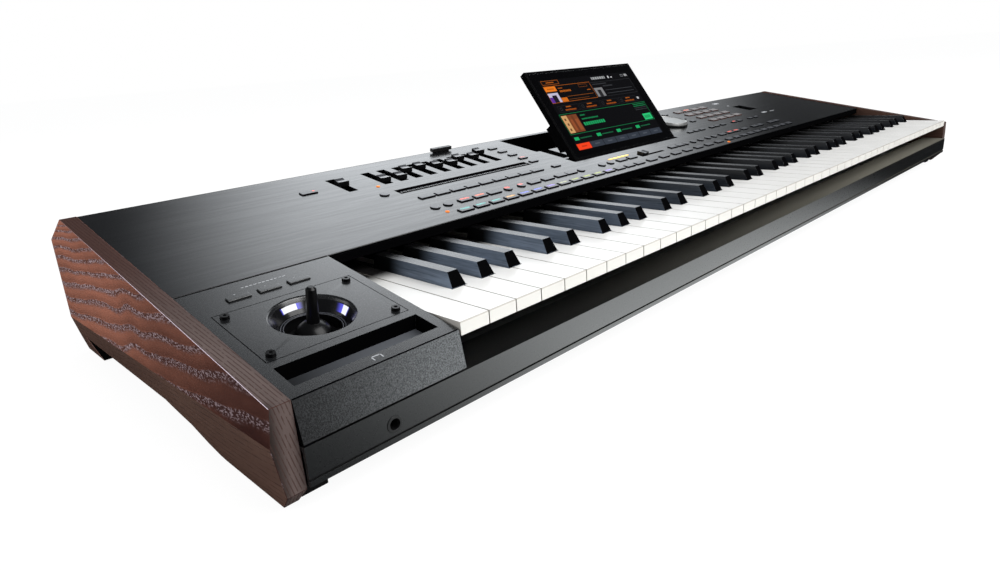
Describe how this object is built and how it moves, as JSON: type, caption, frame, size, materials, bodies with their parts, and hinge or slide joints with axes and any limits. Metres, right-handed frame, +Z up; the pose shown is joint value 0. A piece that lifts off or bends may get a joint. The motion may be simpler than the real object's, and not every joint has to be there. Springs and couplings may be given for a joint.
{
  "type": "arranger keyboard",
  "caption": "Long arranger keyboard with sprung keys, a tilting touch display, panel sliders, buttons, a value dial and a joystick between creased wooden end cheeks.",
  "frame": {"origin": "On the floor, under the middle of the instrument.", "axes": "+X to the player's right along the keys, +Y to the back, +Z up."},
  "size_m": [1.1988, 0.351, 0.1916],
  "materials": {
    "wood": "stained open-grain hardwood, satin",
    "brushed_panel": "black brushed and anodised",
    "dark_plastic": "fine textured dark grey",
    "black_plastic": "matt black",
    "gloss_black": "glossy black",
    "white_key": "glossy white",
    "black_key": "satin black",
    "rail": "satin dark grey paint",
    "steel": "ground steel",
    "screw": "black oxide",
    "rubber": "matt black",
    "glass": "display glass",
    "light": "clear light guide",
    "circuit": "green board with parts",
    "supply": "plain zinc sheet",
    "dial": "turned silver grey top",
    "chrome": "nickel plate"
  },
  "bodies": {
    "base": {"bottom_case": "rail", "contact_board": "circuit", "control_block": "dark_plastic", "display_hinge_pins": "steel", "display_well": "black_plastic", "fallboard": "gloss_black", "front_rail": "rail", "headphone_jack": "chrome", "joystick_cup": "black_plastic", "joystick_light_ring": "light", "joystick_plate": "dark_plastic", "key_frame": "supply", "key_pivot_rod": "steel", "left_cheek": "wood", "machine_screws": "screw", "main_board": "circuit", "music_rest_clips": "black_plastic", "panel_board": "circuit", "power_inlet": "black_plastic", "power_supply": "supply", "rear_panel": "rail", "rear_sockets": "chrome", "ribbon_strip": "gloss_black", "right_cheek": "wood", "rubber_feet": "rubber", "top_panel": "brushed_panel"},
    "keys_a": {"keys_a": "white_key"},
    "keys_a_sharp": {"keys_a_sharp": "black_key"},
    "keys_b": {"keys_b": "white_key"},
    "keys_c": {"keys_c": "white_key"},
    "keys_c_sharp": {"keys_c_sharp": "black_key"},
    "keys_d": {"keys_d": "white_key"},
    "keys_d_sharp": {"keys_d_sharp": "black_key"},
    "keys_e": {"keys_e": "white_key"},
    "keys_f": {"keys_f": "white_key"},
    "keys_f_sharp": {"keys_f_sharp": "black_key"},
    "keys_g": {"keys_g": "white_key"},
    "keys_g_sharp": {"keys_g_sharp": "black_key"},
    "joystick_gimbal": {"joystick_gimbal": "black_plastic"},
    "joystick_stick": {"joystick_stick": "black_plastic"},
    "display": {"display_housing": "gloss_black", "display_screen": "glass"},
    "volume_slider": {"volume_slider": "black_plastic"},
    "part_slider_1": {"part_slider_1": "black_plastic"},
    "part_slider_2": {"part_slider_2": "black_plastic"},
    "part_slider_3": {"part_slider_3": "black_plastic"},
    "part_slider_4": {"part_slider_4": "black_plastic"},
    "part_slider_5": {"part_slider_5": "black_plastic"},
    "part_slider_6": {"part_slider_6": "black_plastic"},
    "part_slider_7": {"part_slider_7": "black_plastic"},
    "part_slider_8": {"part_slider_8": "black_plastic"},
    "part_slider_9": {"part_slider_9": "black_plastic"},
    "crossfader": {"crossfader": "black_plastic"},
    "value_dial": {"value_dial": "dial"},
    "power_switch": {"power_switch": "black_plastic"},
    "assign_buttons": {"assign_buttons": "black_plastic"},
    "arranger_buttons": {"arranger_buttons": "dark_plastic"},
    "player_buttons": {"player_buttons": "dark_plastic"},
    "strip_buttons": {"strip_buttons": "dark_plastic"},
    "style_buttons": {"style_buttons": "dark_plastic"}
  },
  "joints": [
    {"name": "keys_a_press", "type": "hinge", "parent": "base", "child": "keys_a", "pos_m": [0.0525, 0.0285, 0.057], "axis": [1, 0, 0], "range_deg": [0, 2.9], "stiffness_Nm_per_rad": 4, "springref_deg": -11.46},
    {"name": "keys_a_sharp_press", "type": "hinge", "parent": "base", "child": "keys_a_sharp", "pos_m": [0.0525, 0.0285, 0.057], "axis": [1, 0, 0], "range_deg": [0, 2.9], "stiffness_Nm_per_rad": 4, "springref_deg": -11.46},
    {"name": "keys_b_press", "type": "hinge", "parent": "base", "child": "keys_b", "pos_m": [0.0525, 0.0285, 0.057], "axis": [1, 0, 0], "range_deg": [0, 2.9], "stiffness_Nm_per_rad": 4, "springref_deg": -11.46},
    {"name": "keys_c_press", "type": "hinge", "parent": "base", "child": "keys_c", "pos_m": [0.0525, 0.0285, 0.057], "axis": [1, 0, 0], "range_deg": [0, 2.9], "stiffness_Nm_per_rad": 4, "springref_deg": -11.46},
    {"name": "keys_c_sharp_press", "type": "hinge", "parent": "base", "child": "keys_c_sharp", "pos_m": [0.0525, 0.0285, 0.057], "axis": [1, 0, 0], "range_deg": [0, 2.9], "stiffness_Nm_per_rad": 4, "springref_deg": -11.46},
    {"name": "keys_d_press", "type": "hinge", "parent": "base", "child": "keys_d", "pos_m": [0.0525, 0.0285, 0.057], "axis": [1, 0, 0], "range_deg": [0, 2.9], "stiffness_Nm_per_rad": 4, "springref_deg": -11.46},
    {"name": "keys_d_sharp_press", "type": "hinge", "parent": "base", "child": "keys_d_sharp", "pos_m": [0.0525, 0.0285, 0.057], "axis": [1, 0, 0], "range_deg": [0, 2.9], "stiffness_Nm_per_rad": 4, "springref_deg": -11.46},
    {"name": "keys_e_press", "type": "hinge", "parent": "base", "child": "keys_e", "pos_m": [0.0525, 0.0285, 0.057], "axis": [1, 0, 0], "range_deg": [0, 2.9], "stiffness_Nm_per_rad": 4, "springref_deg": -11.46},
    {"name": "keys_f_press", "type": "hinge", "parent": "base", "child": "keys_f", "pos_m": [0.0525, 0.0285, 0.057], "axis": [1, 0, 0], "range_deg": [0, 2.9], "stiffness_Nm_per_rad": 4, "springref_deg": -11.46},
    {"name": "keys_f_sharp_press", "type": "hinge", "parent": "base", "child": "keys_f_sharp", "pos_m": [0.0525, 0.0285, 0.057], "axis": [1, 0, 0], "range_deg": [0, 2.9], "stiffness_Nm_per_rad": 4, "springref_deg": -11.46},
    {"name": "keys_g_press", "type": "hinge", "parent": "base", "child": "keys_g", "pos_m": [0.0525, 0.0285, 0.057], "axis": [1, 0, 0], "range_deg": [0, 2.9], "stiffness_Nm_per_rad": 4, "springref_deg": -11.46},
    {"name": "keys_g_sharp_press", "type": "hinge", "parent": "base", "child": "keys_g_sharp", "pos_m": [0.0525, 0.0285, 0.057], "axis": [1, 0, 0], "range_deg": [0, 2.9], "stiffness_Nm_per_rad": 4, "springref_deg": -11.46},
    {"name": "joystick_fore_aft", "type": "hinge", "parent": "base", "child": "joystick_gimbal", "pos_m": [-0.53181, -0.10128, 0.05708], "axis": [1, 0, 0], "range_deg": [-18, 18], "stiffness_Nm_per_rad": 0.05},
    {"name": "joystick_side", "type": "hinge", "parent": "joystick_gimbal", "child": "joystick_stick", "pos_m": [-0.53181, -0.10128, 0.05708], "axis": [0, 0.9845, 0.1752], "range_deg": [-18, 18], "stiffness_Nm_per_rad": 0.05},
    {"name": "display_tilt", "type": "hinge", "parent": "base", "child": "display", "pos_m": [-0.02385, 0.02981, 0.10062], "axis": [1, 0, 0], "range_deg": [-42.9, 15]},
    {"name": "volume_slider_slide", "type": "slide", "parent": "base", "child": "volume_slider", "axis": [0, 0.9845, 0.1752], "range_m": [-0.01656, 0.01794]},
    {"name": "part_slider_1_slide", "type": "slide", "parent": "base", "child": "part_slider_1", "axis": [0, 0.9845, 0.1752], "range_m": [-0.00587, 0.02864]},
    {"name": "part_slider_2_slide", "type": "slide", "parent": "base", "child": "part_slider_2", "axis": [0, 0.9845, 0.1752], "range_m": [-0.00483, 0.02967]},
    {"name": "part_slider_3_slide", "type": "slide", "parent": "base", "child": "part_slider_3", "axis": [0, 0.9845, 0.1752], "range_m": [-0.02001, 0.01449]},
    {"name": "part_slider_4_slide", "type": "slide", "parent": "base", "child": "part_slider_4", "axis": [0, 0.9845, 0.1752], "range_m": [-0.02105, 0.01345]},
    {"name": "part_slider_5_slide", "type": "slide", "parent": "base", "child": "part_slider_5", "axis": [0, 0.9845, 0.1752], "range_m": [-0.01553, 0.01897]},
    {"name": "part_slider_6_slide", "type": "slide", "parent": "base", "child": "part_slider_6", "axis": [0, 0.9845, 0.1752], "range_m": [-0.0138, 0.0207]},
    {"name": "part_slider_7_slide", "type": "slide", "parent": "base", "child": "part_slider_7", "axis": [0, 0.9845, 0.1752], "range_m": [-0.02346, 0.01104]},
    {"name": "part_slider_8_slide", "type": "slide", "parent": "base", "child": "part_slider_8", "axis": [0, 0.9845, 0.1752], "range_m": [-0.01966, 0.01483]},
    {"name": "part_slider_9_slide", "type": "slide", "parent": "base", "child": "part_slider_9", "axis": [0, 0.9845, 0.1752], "range_m": [-0.03036, 0.00414]},
    {"name": "crossfader_slide", "type": "slide", "parent": "base", "child": "crossfader", "axis": [1, 0, 0], "range_m": [0, 0.042]},
    {"name": "value_dial_turn", "type": "hinge", "parent": "base", "child": "value_dial", "pos_m": [0.15011, 0.07257, 0.10528], "axis": [0, -0.1752, 0.9845], "continuous": true},
    {"name": "power_switch_rock", "type": "hinge", "parent": "base", "child": "power_switch", "pos_m": [0.46588, 0.167, 0.0515], "axis": [1, 0, 0], "range_deg": [0, 18]},
    {"name": "assign_buttons_press", "type": "slide", "parent": "base", "child": "assign_buttons", "axis": [0, 0.1752, -0.9845], "range_m": [0, 0.0008], "stiffness_N_per_m": 600, "springref_m": -0.002},
    {"name": "arranger_buttons_press", "type": "slide", "parent": "base", "child": "arranger_buttons", "axis": [0, 0.1752, -0.9845], "range_m": [0, 0.0008], "stiffness_N_per_m": 600, "springref_m": -0.002},
    {"name": "player_buttons_press", "type": "slide", "parent": "base", "child": "player_buttons", "axis": [0, 0.1752, -0.9845], "range_m": [0, 0.0008], "stiffness_N_per_m": 600, "springref_m": -0.002},
    {"name": "strip_buttons_press", "type": "slide", "parent": "base", "child": "strip_buttons", "axis": [0, 0.1752, -0.9845], "range_m": [0, 0.0008], "stiffness_N_per_m": 600, "springref_m": -0.002},
    {"name": "style_buttons_press", "type": "slide", "parent": "base", "child": "style_buttons", "axis": [0, 0.1752, -0.9845], "range_m": [0, 0.0008], "stiffness_N_per_m": 600, "springref_m": -0.002}
  ]
}
